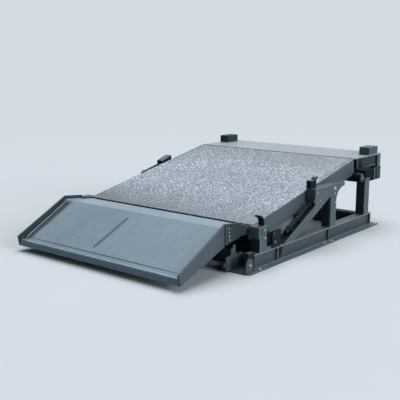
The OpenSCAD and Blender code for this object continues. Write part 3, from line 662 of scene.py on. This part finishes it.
def coats(c, bend):
    """What is said to paint() for each painted finish."""
    gusset = (high("brace_r")[0], low("brace_r")[1] + 0.04, 0.215)
    saddle = (high("wall_brackets")[0], ahead(-0.128), 0.500)
    top, foot, post = high("sill_r")[2], low("sill_r")[2], low("front_post_r")[1]
    outward = lambda n: n.span(n.aside(), 0.6, 0.9)
    # Band just above the sills' foot, where painted shade lies under the lower flange.
    seam = lambda n: n.span(n.place(2), foot + 0.0052, foot + 0.0040)
    # Painted highlight lines along the top and bottom flange edges of the sills' outer faces.
    flange_highlights = lambda n: outward(n) * (n.span(n.place(2), top - 0.009, top - 0.007)
                                      + n.span(n.place(2), foot + 0.0100, foot + 0.0090) * (1 - seam(n))).clip()
    # Painted highlight down the outer front corner of each front post.
    corner = lambda n: outward(n) * n.span(n.place(1), post + 0.014, post + 0.009)
    # Painted shadow of the left cheek on the lip ramp: a soft band beside it, ending at the bend.
    cheek_shadow = lambda n: (n.span(n.place(0) + n.noise(n.coords(), 9.0) * 0.03, -0.735, -0.775)
                       * n.span(n.place(1), bend + 0.005, bend - 0.03) * 0.88)
    return dict(
        slate=dict(colour=c.slate),
        # Sills: painted light on faces that look up, painted highlights on the flange edges, painted shade under the
        # lower flange.
        sill=dict(colour=c.slate, lit_tops=0.55, highlight_mask=flange_highlights, bright=2.7,
                  shade_mask=lambda n: outward(n) * seam(n) * 0.9),
        web=dict(colour=c.slate, tone=0.72),
        # Base: painted light on the top and a painted highlight on its sides.
        base=dict(colour=c.slate, tone=0.70, lit_tops=0.16, bright=4.4,
                  highlight_mask=lambda n: n.span(n.facing(2), 0.7, 0.4)),
        # Posts: painted shade on the faces that look towards the lip; the front posts also carry a painted highlight
        # on their outer corner.
        front_post=dict(colour=c.slate, shade_mask=lambda n: n.forward() * 0.92, highlight_mask=corner),
        post=dict(colour=c.slate, shade_mask=lambda n: n.forward() * 0.62),
        block=dict(colour=c.shade, tone=1.25, gloss=0.50),
        # Painted shade: a near-black copy of the shade tone for the plates in the dark rear corners.
        dim=dict(colour=c.shade, tone=0.34, gloss=0.55, wear=0.30, dust=0.02, shine=0.10),
        dull=dict(colour=c.slate, tone=0.80, gloss=0.50, wear=0.95),
        # Lugs: a light tone with painted shade on every face but the top, so that the top reads as lit.
        lug=dict(colour=c.slate, tone=1.7, gloss=0.60, wear=0.30, shine=0.06,
                 shade_mask=lambda n: n.span(n.facing(2), 0.8, 0.5) * 0.97),
        # Braces: painted shade round the gusset and on every face but the outer one.
        brace=dict(colour=c.slate, tone=1.2, gloss=0.50, shade_spot=(gusset, 0.16), shine=0.12,
                   shade_mask=lambda n: n.span(n.aside(), 0.6, 0.3) * 0.95),
        # A darker copy of the shade tone: painted shade on the rear beam under the rear plate, and the tone of the
        # left rear block.
        deep=dict(colour=c.shade, tone=0.62, gloss=0.55, wear=0.50, dust=0.02, shine=0.15),
        shade=dict(colour=c.shade, gloss=0.50),
        # Wall brackets: painted shade round the saddle.
        bracket=dict(colour=c.shade, tone=0.80, gloss=0.60, wear=0.60, dust=0.02, shine=0.06,
                     shade_spot=(saddle, 0.135)),
        # Painted highlight: a light copy of the slate for the beads on the braces' upper edges.
        light=dict(colour=c.slate, tone=2.4, gloss=0.45, wear=0.35),
        nose=dict(colour=(0.212, 0.302, 0.345), gloss=0.40, wear=0.60),
        # Lip: painted shadow of the left cheek beside it. Crease: painted shade in the pressed line.
        lip=dict(colour=c.lip_blue, gloss=0.36, wear=0.20, dust=0.05, shine=0.34, shade_mask=cheek_shadow),
        crease=dict(colour=c.lip_blue, gloss=0.45, wear=0.0, dust=0.0, shade_mask=crease_shade(bend)),
        groove=dict(colour=c.shade, tone=0.7, gloss=0.60, wear=0.0, dust=0.0, shine=0.08),
        # Worn edge and painted highlight along the nose's top edge.
        rubbed=dict(colour=c.lip_blue, tone=2.1, gloss=0.36, wear=0.30, dust=0.05, shine=0.45),
        # Painted shade: a dark copy of the shade tone for the bar beside the left cheek.
        edging=dict(colour=c.shade, tone=0.60, gloss=0.50, wear=0.40, dust=0.0, shine=0.15),
        pale=dict(colour=c.pale, gloss=0.40, wear=0.20, shine=0.45),
        black=dict(colour=c.black, gloss=0.50, wear=0.40, dust=0.02, shine=0.12))


def crease_shade(bend):
    """Painted shade in the pressed line: dark at its right edge and fading to the left, along a leaning line."""
    low_x, top_x, low_y, top_y = -0.071, -0.034, bend - 0.4304, bend - 0.0579
    lean = (low_x - top_x) / (low_y - top_y)
    return lambda n: n.span(n.place(0) - (n.place(1) - top_y) * lean - top_x, -0.036, 0.006) * 0.85


class LEVELER_OT_finishes(bpy.types.Operator):
    """Paint and steel on the solid pieces"""
    bl_idname = "leveler.finishes"
    bl_label = "Finishes"

    def execute(self, context):
        c = colours()
        bend = Lip().bend[1]
        for key, coat in coats(c, bend).items():
            FINISHES[key] = paint(key + "_paint", **coat)
        FINISHES.update(
            cheek=inner_shaded_paint("cheek_paint", tint(c.slate, 1.05), tint(c.shade, 0.60), bend),
            plate=tread_steel("tread_plate", c.tread, gloss=0.50, metal=0.20, contrast=0.45, end_darkening=0.80),
            # The bars are far lighter than the plate: worn tops and a painted highlight on the raised bars.
            bars=tread_steel("tread_bars", tint(c.tread, 2.85), gloss=0.40, metal=0.30, contrast=0.55, end_darkening=0.60),
            pin=bright_steel("pin_steel", (0.42, 0.44, 0.47), gloss=0.34, metal=0.85),
            zinc=bright_steel("zinc_plate", c.zinc, gloss=0.38, metal=0.75))
        # CAD nodes by finish; a name without _l or _r stands for both sides, and the rest are slate.
        groups = {
            "plate": "deck_plate", "pale": "rear_plate", "lip": "lip_plate", "nose": "lip_nose", "cheek": "cheek",
            "pin": "rear_pin lip_pin", "bracket": "wall_brackets", "brace": "brace", "lug": "mid_lug",
            "deep": "rear_beam rear_block_l", "block": "rear_block_r", "sill": "sill", "base": "base",
            "front_post": "front_post", "post": "mid_post rear_post",
            "black": "front_hooks bosses front_header toe_plates",
            # The shade finish darkens the pieces under the deck: painted shade.
            "shade": "box_plates deck_ribs rear_header front_beam low_beam lip_ribs hinge_lugs beam_ends"}
        special = {node: finish for finish, nodes in groups.items() for node in nodes.split()}
        for name, obj in NODES.items():
            obj.data.materials.clear()
            both_sides = special.get(name[:-2], "slate")
            obj.data.materials.append(FINISHES[special.get(name, both_sides)])
        return {"FINISHED"}


def seams(half):
    """Dark seam beside the plain edge of the deck's rear part: a low bead along the slope."""
    x, up = half - PLAIN_WIDTH - 0.006, sloped(sizes().deck_slope)[1]
    seam = Shell().ridge(deck_point(x, PLAIN_LENGTH), deck_point(x, 0.020), X, up, 0.009, 0.0010)
    seam.pair("deck_seams", "deck", "groove", "black_paint", BEAD)


class LEVELER_OT_tread(bpy.types.Operator):
    """Raised bars of the tread plate"""
    bl_idname = "leveler.tread"
    bl_label = "Tread bars"

    def execute(self, context):
        """Lens bars on a grid, turned 45 degrees one way and the other in turn, each a little off and worn.
        A bar's height over (u, v) from -1 to 1 is (1 - u^2)^0.6 (1 - v^2)^0.5.
        Its half width shrinks by 0.85 (1 - u^2)^0.5 + 0.15 (1 - |u|)."""
        k = sizes()
        half, margin = high("deck_plate")[0], 0.016
        xs = np.arange(-half + margin, half - margin + 1e-9, k.bar_pitch)
        xs += (half - margin - xs[-1]) / 2
        ys = np.arange(margin, k.deck_length - margin + 1e-9, k.bar_pitch)
        iy, ix = np.indices((len(ys), len(xs))).reshape(2, -1)
        barred = (np.abs(xs[ix]) <= half - PLAIN_WIDTH) | (ys[iy] >= PLAIN_LENGTH)
        ix, iy = ix[barred], iy[barred]
        gx, gy = xs[ix], ys[iy]
        chance, count = np.random.default_rng(11), len(gx)
        turn = np.where((ix + iy) % 2 == 0, 1.0, -1.0) * math.pi / 4 + chance.normal(0, 0.22, count)
        worn = chance.uniform(0.25, 1.0, count)[:, None, None]
        gx = gx + chance.normal(0, 0.0022, count)
        u, v = np.linspace(-1, 1, 7), np.linspace(-1, 1, 4)
        round_u = np.clip(1 - u ** 2, 0, 1)
        lens = np.sqrt(round_u) * 0.85 + 0.15 * (1 - np.abs(u))
        along = np.broadcast_to(u[:, None] * k.bar_length / 2, (len(u), len(v)))
        across = lens[:, None] * v[None] * k.bar_width / 2
        rise = k.bar_height * (round_u ** 0.6)[:, None] * (1 - v ** 2)[None] ** 0.5
        c, s = np.cos(turn)[:, None, None], np.sin(turn)[:, None, None]
        px = gx[:, None, None] + c * along - s * across
        py = gy[:, None, None] + s * along + c * across
        bars = Shell().add(deck_point(px, py, rise * worn - BEAD_SUNK), False)
        bars.piece("tread_bars", "deck", "bars", "tread", BEAD, False)
        seams(half)
        return {"FINISHED"}


def around(shell, node, z, leg, sides):
    """Beads where an upright piece stands on a flat one at height z, on the sides that are named."""
    inset = 0.006
    (x0, y0), (x1, y1) = low(node)[:2], high(node)[:2]
    runs = {"front": ((x0 + inset, y0, z), (x1 - inset, y0, z), -Y),
            "back": ((x0 + inset, y1, z), (x1 - inset, y1, z), Y),
            "right": ((x1, y0 + inset, z), (x1, y1 - inset, z), X),
            "left": ((x0, y0 + inset, z), (x0, y1 - inset, z), -X)}
    for i, side in enumerate(sides):
        a, b, n = runs[side]
        shell.weld(a, b, n, Z, leg, i + 7 * z)


def frame_welds(leg):
    """Posts on the sills, sills and keepers on the base, blocks on the rear plate, lugs on their seats
    and the ends of the front beam on the base."""
    shell = Shell()
    base_top, sill_top = high("base_r")[2], high("sill_r")[2]
    for post in ("front_post_r", "mid_post_r", "rear_post_r"):
        around(shell, post, sill_top, leg, ("front", "back"))
    front, (x, y) = low("sill_r")[1] + 0.11, high("sill_r")[:2]
    shell.weld((x, front, base_top), (x, y, base_top), X, Z, leg * 0.8, 3)
    around(shell, "keeper_r", base_top, leg, ("right", "left", "front"))
    around(shell, "rear_block_r", high("rear_plate")[2], leg, ("front", "left"))
    shell.mirrored()
    for lug in ("mid_lug_r", "mid_lug_l"):
        around(shell, lug, low(lug)[2], leg, ("front",))
    (x0, y), x1 = low("front_beam")[:2], high("front_beam")[0]
    for start, end, seed in ((x0 + 0.01, x0 + 0.20, 5), (x1 - 0.20, x1 - 0.01, 6)):
        shell.weld((start, y, base_top), (end, y, base_top), -Y, Z, leg, seed)
    # The welds take the shade finish: painted shade in the corners that they fill.
    shell.piece("frame_welds", "frame", "shade", "slate_paint", WELD)


def lip_welds(leg):
    """Cheeks on the lip plate, inside, along the ramp and most of the strip."""
    lip, x = Lip(), low("cheek_r")[0] * X
    shell = Shell().weld(lip.bend + x, lip.tip + x - 0.02 * lip.down, -X, lip.ramp_up, leg, 2)
    start = lip.bend + 0.62 * (lip.rear - lip.bend)
    shell.weld(lip.bend + x, start + x, -X, lip.strip_up, leg, 4)
    shell.pair("lip_welds", "lip", "lip", "lip_paint", WELD)
    edging(lip)


def edging(lip):
    """Flat bar beside the left cheek, wider at the nose, dark as painted shade of the cheek's inner face,
    and the bead along its free edge.
    Across it the height is 1 - v^8, so that it is flat with rounded edges."""
    start, end, height = 0.004, 0.530, 0.004
    inner = high("cheek_l")[0]
    u, v = np.linspace(start, end, 40), np.linspace(-1, 1, 15)
    wide = np.interp(u, [0.0, end], [0.017, 0.037])
    across = inner - 0.001 + (v[None] + 1) / 2 * wide[:, None]
    fade = np.clip(np.minimum(u - start, end - u) / 0.004, 0, 1)
    rise = height * (1 - v ** 8)[None] * fade[:, None] - BEAD_SUNK
    grid = lip.bend + u[:, None, None] * lip.down + across[..., None] * X + rise[..., None] * lip.ramp_up
    Shell().add(grid[::-1], False).piece("cheek_edging", "lip", "edging", "slate_paint", WELD)
    edge = lambda i: lip.bend + u[i] * lip.down + (inner + wide[i]) * X
    bead = Shell().weld(edge(0), edge(-1), X, lip.ramp_up, 0.0045, 3)
    bead.piece("edging_weld", "lip", "nose", "lip_paint", WELD)


class LEVELER_OT_welds(bpy.types.Operator):
    """Weld beads of the frame and lip, and the lip's edging"""
    bl_idname = "leveler.welds"
    bl_label = "Welds"

    def execute(self, context):
        leg = sizes().weld_leg
        frame_welds(leg)
        lip_welds(leg)
        return {"FINISHED"}


# Places of fasteners on the sides: distance ahead of the deck's hinge axis, and height.
SIDE_BOLTS = ((1.627, 0.302), (1.625, 0.239), (0.543, 0.423), (0.537, 0.342), (0.840, 0.466), (0.802, 0.401))
ARCH_BOLT = (0.538, 0.466)
TOE_BOLT, TOE_PAINTED = (1.818, 0.066), (1.833, 0.036)
BASE_BOLTS = (1.696, 0.711, 0.591, -0.260)
KEEPER_RIVETS = ((1.872, 0.106), (1.848, 0.086), (1.868, 0.068), (1.850, 0.046))
GUSSET_NUT, GUSSET_BOLT = (1.4917, 0.181), (1.500, 0.250)
LIP_BOLTS = ((1.928, 0.352), (1.924, 0.322), (1.921, 0.292), (1.917, 0.262))


def on_side(x, place):
    """A place on an outer face from its distance ahead of the deck's hinge axis and its height."""
    return x, ahead(place[0]), place[1]


def anchors(k):
    """Nuts on studs over the anchor holes of the feet."""
    shell, top = Shell(), high("base_r")[2]
    for mount in (MOUNTS["front_feet"], MOUNTS["rear_feet"]):
        d, y = mount["dims"], mount["pos_m"][1]
        dy = d.get("spacing_y_mm", 0.0) / 2000
        for row in sorted({y - dy, y + dy}):
            shell.bolt((d["spacing_x_mm"] / 2000, row, top), Z, k.anchor_flats, True, 0.016)
    shell.pair("anchor_nuts", "frame", "zinc", "pin_steel", FASTENER)


def side_bolts(k):
    """Plated bolts on the posts, side plates, toes and base, painted ones on keepers, toes and gussets."""
    side, toe = high("side_plate_r")[0], high("toe_plates")[0] + 0.007
    base, keeper, gusset = high("base_r"), high("keeper_r")[0], high("brace_r")[0]
    shell = Shell()
    for place in SIDE_BOLTS:
        shell.bolt(on_side(side, place), X, k.bolt_flats)
    shell.bolt(on_side(toe, TOE_BOLT), X, k.bolt_flats * 0.8, True)
    for y in BASE_BOLTS:
        shell.bolt((base[0] - 0.020, ahead(y), base[2]), Z, k.bolt_flats, True)
    shell.bolt(on_side(side, ARCH_BOLT), X, k.bolt_flats * 1.15, True)
    shell.pair("frame_bolts", "frame", "zinc", "pin_steel", FASTENER)
    painted, r = Shell(), 0.0065
    painted.bolt(on_side(toe, TOE_PAINTED), X, k.bolt_flats * 0.8, True)
    for place in KEEPER_RIVETS:
        painted.dome(on_side(keeper, place), X, r, 0.7, 0.0, [(r, -FOOT_SUNK)], (6, 16))
    painted.bolt(on_side(gusset, GUSSET_NUT), X, k.anchor_flats * 0.8)
    painted.bolt(on_side(gusset, GUSSET_BOLT), X, k.bolt_flats)
    painted.pair("painted_bolts", "frame", "slate", "slate_paint", FASTENER)


def wall_bolts(k):
    """Bolts on the back and the sides of the wall brackets, and a collar and bolt on each boss."""
    boss = np.array([high("bosses")[0], *middle("bosses")[1:]])
    r, lift = half_size("bosses")[2], 0.006
    ring = [(r * 0.42, 0), (r * 0.46, lift), (r * 0.78, lift), (r * 0.84, 0), (r * 0.42, 0)]
    Shell().turned(ring, boss, X, 32).pair("boss_collars", "frame", "shade", "slate_paint", FASTENER)
    wall, side = MOUNTS["dock_wall"], high("wall_brackets")[0]
    place = np.array([wall["dims"]["spacing_x_mm"] / 2000, *wall["pos_m"][1:]])
    shell = Shell().bolt(boss, X, k.anchor_flats * 0.6)
    shell.bolt(place, Y, k.anchor_flats, True, 0.022)
    shell.bolt(place + (0.030, 0, 0.034), Y, k.bolt_flats, True, 0.012)
    for above in (-0.030, 0.002, 0.034):
        shell.bolt((side, place[1] - 0.018, place[2] + above), X, k.bolt_flats)
    shell.pair("wall_bolts", "frame", "zinc", "pin_steel", FASTENER)


def lip_bolts(k):
    """Column of bolt heads on the lip's hinge cheeks."""
    shell, cheek = Shell(), high("cheek_r")[0]
    for place in LIP_BOLTS:
        shell.bolt(on_side(cheek, place), X, k.bolt_flats * 0.8)
    shell.pair("lip_bolts", "lip", "zinc", "pin_steel", FASTENER)


class LEVELER_OT_bolts(bpy.types.Operator):
    """Anchor nuts, bolts and rivets"""
    bl_idname = "leveler.bolts"
    bl_label = "Fasteners"

    def execute(self, context):
        for fasten in (anchors, side_bolts, wall_bolts, lip_bolts):
            fasten(sizes())
        return {"FINISHED"}


def end_plates():
    """Stop plate on the front of each front post, and the plate that closes each deck channel's front end."""
    x, half_z = middle("front_post_r")[0], 0.044
    centre = (x, low("front_post_r")[1], high("front_post_r")[2] - half_z - 0.002)
    stop = Shell().plate(centre, X, Z, half_size("front_post_r")[0] - 0.004, half_z, 0.010)
    stop.pair("stop_plates", "frame", "slate", "slate_paint")
    k, depth = sizes(), 0.062
    centre = deck_point(middle("channel_r")[0], k.deck_length, -0.010 - depth)
    up = sloped(k.deck_slope)[1]
    end = Shell().plate(centre, X, up, half_size("channel_r")[0] - 0.002, depth, 0.006)
    # The end plates take the pale rear-plate paint: painted light on faces that stand in shade.
    end.pair("end_plates", "deck", "pale", "slate_paint")


def props():
    """Stowed prop on each brace: barrel, collar and rod in one profile turned about the brace's slope,
    held by two bands on feet."""
    along, up = sloped(BRACE_SLOPE)
    r, gap, long = 0.020, 0.003, 0.420
    flange = np.array([middle("brace_r")[0], *high("brace_r")[1:]]) - long * along
    foot = flange + (r + gap) * up
    tube = [(0, 0), (r * 0.8, 0), (r, 0.006), (r, 0.225), (r * 1.14, 0.228), (r * 1.14, 0.254),
            (r * 0.66, 0.260), (r * 0.66, 0.380), (r * 0.9, 0.384), (r * 0.9, 0.412), (0, 0.412)]
    shell = Shell().turned(tube[::-1], foot, along, 32)
    inner, outer = r - 0.002, r + 0.004
    band = [(inner, 0.011), (outer, 0.010), (outer, -0.010), (inner, -0.011), (inner, 0.011)]
    for h in (0.060, 0.190):
        shell.turned([(radius, h + rise) for radius, rise in band], foot, along, 32)
        shell.plate(flange + h * along - 0.001 * up, X, along, 0.036, 0.013, 0.016, 0.004)
    shell.pair("stowed_props", "frame", "black", "black_paint", FASTENER)


def aprons():
    """Black plates, dark sheets of painted shade: one behind each front post, one under each box plate,
    and one along the front beam.
    """
    post, rear = low("front_post_r")[0] + 0.010, high("front_post_r")[1]
    shell = Shell().plate((post, rear + 0.089, 0.184), Y, Z, 0.090, 0.053, 0.010)
    under = (middle("front_post_r")[0], high("brace_r")[1] + 0.004, low("box_plates")[2] - 0.014)
    shell.plate(under, X, Z, 0.036, 0.018, 0.006).mirrored()
    beam = high("front_beam")
    shell.plate((0, beam[1] - 0.002, beam[2] + 0.034), X, Z, beam[0] - 0.005, 0.035, 0.008)
    shell.piece("aprons", "frame", "black", "black_paint")


def ears():
    """Ear and block behind each lip cheek, and the black skirt under the deck's front header: painted shade."""
    cheek, r = high("cheek_r")[0], 0.005
    ear = Shell().plate((cheek - 0.014, ahead(1.758), 0.306), Y, Z, 0.0195, 0.044, 0.014, r)
    ear.pair("lip_ears", "lip", "cheek", "slate_paint")
    block = Shell().plate((cheek - 0.015, ahead(1.7142), 0.304), Y, Z, 0.0245, 0.042, 0.010, r)
    block.pair("ear_blocks", "lip", "shade", "black_paint")
    skirt = Shell().plate((0, low("front_header")[1] + 0.010, 0.166), X, Z, 0.895, 0.024, 0.006)
    skirt.piece("deck_skirt", "deck", "black", "black_paint")


def rear_corners():
    """Near-black plate of painted shade that closes each rear corner under the rear plate, its edges,
    and ribs on the wall brackets.
    """
    top, foot, side = low("rear_plate")[2] + 0.0005, 0.556, high("rear_beam")[0]
    x, z, half_z = side - 0.017, (top + foot) / 2, (top - foot) / 2
    corner = Shell().plate((x, ahead(-0.1075), z), Y, Z, 0.065, half_z, 0.012)
    edges, ribs = Shell(), Shell()
    for y in (-0.052, -0.163):
        edges.plate((x, ahead(y), z), Y, Z, 0.006, half_z, 0.015, 0.003)
    edges.plate((side - 0.001, ahead(-0.310), 0.561), Y, Z, 0.125, 0.004, 0.003, 0.002)
    x, z = high("wall_brackets")[0] - 0.001, middle("wall_brackets")[2]
    for y in (-0.215, -0.285):
        ribs.plate((x, ahead(y), z), Y, Z, 0.007, 0.052, 0.010, 0.003)
    corner.pair("corner_plates", "frame", "dim", "slate_paint")
    edges.pair("corner_edges", "frame", "slate", "slate_paint")
    ribs.pair("bracket_ribs", "frame", "slate", "slate_paint")


def sill_plates():
    """Plate that closes the side of each sill between its flanges, a little inside their edges, and a
    black wedge on it, a painted shadow."""
    flange = 0.0085
    (x, _, top), foot = high("sill_r"), low("sill_r")[2]
    _, y, z = middle("sill_r")
    _, half_y, half_z = half_size("sill_r")
    web = Shell().plate((x - 0.036, y, z), Y, Z, half_y - 0.002, half_z - flange, 0.008, 0.002, 0.001)
    web.pair("sill_plates", "frame", "web", "slate_paint")
    x, top, foot, t = x - 0.029, top - flange, foot + flange, 0.0025
    wedge = [on_side(x, p) for p in ((1.3757, top), (1.3690, foot), (1.3570, foot), (1.3077, top))]
    splice = Shell().slab(np.array(wedge), X, ((0.0, 0.0), (1.0, 0.0), (1.0, t), (0.0, t)))
    splice.pair("sill_splices", "frame", "black", "black_paint")


def toe_lugs():
    """Ear on each toe plate: a half ellipse over a foot with small corners, drawn through x.
    Its two faces close in their middles."""
    half_y, above, below = 0.044, 0.064, 0.042
    centre = np.array(on_side(high("toe_plates")[0], (1.8235, 0.0545)))
    t = np.linspace(0, 2 * np.pi, 48, endpoint=False)
    c, s = np.cos(t), np.sin(t)
    power = np.where(s > 0, 0.85, 0.25)
    ear = np.stack([0 * t, half_y * np.sign(c) * np.abs(c) ** power,
                    np.where(s > 0, above, below) * np.sign(s) * np.abs(s) ** power], axis=1)
    back, face = -0.003, 0.007
    steps = ((0.0, back), (1.0, back), (1.0, 0.005), (0.985, 0.0068), (0.95, face), (0.0, face))
    Shell().slab(centre + ear, X, steps).pair("toe_lugs", "frame", "dull", "slate_paint")


def edge_beads():
    """Rubbed upper edge of the braces: a low bead along the outer face."""
    along, up = sloped(BRACE_SLOPE)
    end = high("brace_r") - 0.006 * up - 0.0004 * X
    bead = Shell().ridge(end - 0.01 * along, end - 0.52 * along, up, X, 0.010, 0.0008)
    bead.pair("edge_beads", "frame", "light", "slate_paint", BEAD)


def buffers():
    """Two rubber buffers behind each front post: a dome on a stepped neck."""
    x, y = high("front_post_r")[:2] - (0.034, 0)
    shell = Shell()
    for z, r in ((0.205, 0.034), (0.266, 0.022)):
        neck = [(r, 0.014), (r * 0.72, 0.010), (r * 0.72, -FOOT_SUNK), (0, -FOOT_SUNK)]
        shell.dome((x, y, z), Y, r, 0.6, 0.022, neck, (7, 28))
    shell.pair("buffers", "frame", "black", "black_paint")


def tie_plates():
    """Small plate on the inner side of each rear post, in the shade finish: painted shade that closes a gap."""
    tie = (low("rear_post_r")[0] - 0.046, ahead(-0.066), 0.534)
    Shell().plate(tie, X, Z, 0.044, 0.024, 0.008).pair("tie_plates", "frame", "shade", "slate_paint")


class LEVELER_OT_plates(bpy.types.Operator):
    """Plates, aprons, ears, stowed props, edge beads and buffers of the frame, deck and lip"""
    bl_idname = "leveler.plates"
    bl_label = "Plates and props"

    def execute(self, context):
        for build in (end_plates, props, aprons, ears, rear_corners, sill_plates, toe_lugs, edge_beads, buffers,
                      tie_plates):
            build()
        return {"FINISHED"}


class LEVELER_OT_lip_press(bpy.types.Operator):
    """Pressed bead in the lip and the beads behind its nose"""
    bl_idname = "leveler.lip_press"
    bl_label = "Lip beads"

    def execute(self, context):
        lip, rows = Lip(), 60
        a = lip.bend + 0.065 * lip.down - 0.038 * X
        b = lip.bend + 0.483 * lip.down - 0.075 * X
        crease = Shell().ridge(b - 0.006 * X, a - 0.006 * X, X, lip.ramp_up, 0.048, 0.0024, rows)
        crease.piece("lip_crease", "lip", "crease", "lip_paint", BEAD)
        x = (low("cheek_r")[0] - 0.002) * X
        # The nose bead's light paint is a worn edge and a painted highlight along the nose's top.
        for name, back, width, height, finish in (("nose_bead", 0.010, 0.012, 0.0040, "rubbed"),
                                                  ("nose_band", 0.030, 0.028, 0.0012, "nose"),
                                                  ("nose_groove", 0.049, 0.012, 0.0012, "groove")):
            c = lip.tip - back * lip.down
            bead = Shell().ridge(c + x, c - x, -lip.down, lip.ramp_up, width, height, rows)
            bead.piece(name, "lip", finish, "lip_paint", BEAD)
        return {"FINISHED"}


class LEVELER_PT_panel(bpy.types.Panel):
    """Lists the steps that dress the leveler"""
    bl_idname = "LEVELER_PT_panel"
    bl_label = "Leveler"
    bl_space_type = "VIEW_3D"
    bl_region_type = "UI"
    bl_category = "Leveler"

    def draw(self, context):
        for step in STEPS:
            self.layout.operator(step.bl_idname)


STEPS = (LEVELER_OT_stage, LEVELER_OT_finishes, LEVELER_OT_tread, LEVELER_OT_welds, LEVELER_OT_bolts,
         LEVELER_OT_plates, LEVELER_OT_lip_press)
CLASSES = (LevelerSizes, LevelerColours, *STEPS, LEVELER_PT_panel)


def register():
    for cls in CLASSES:
        bpy.utils.register_class(cls)
    bpy.types.Scene.leveler_sizes = bpy.props.PointerProperty(type=LevelerSizes)
    bpy.types.Scene.leveler_colours = bpy.props.PointerProperty(type=LevelerColours)


def unregister():
    del bpy.types.Scene.leveler_colours
    del bpy.types.Scene.leveler_sizes
    for cls in reversed(CLASSES):
        bpy.utils.unregister_class(cls)


def main():
    """Dresses the leveler step by step."""
    register()
    bpy.ops.leveler.stage()
    bpy.ops.leveler.finishes()
    bpy.ops.leveler.tread()
    bpy.ops.leveler.welds()
    bpy.ops.leveler.bolts()
    bpy.ops.leveler.plates()
    bpy.ops.leveler.lip_press()


if __name__ == "__main__":
    main()
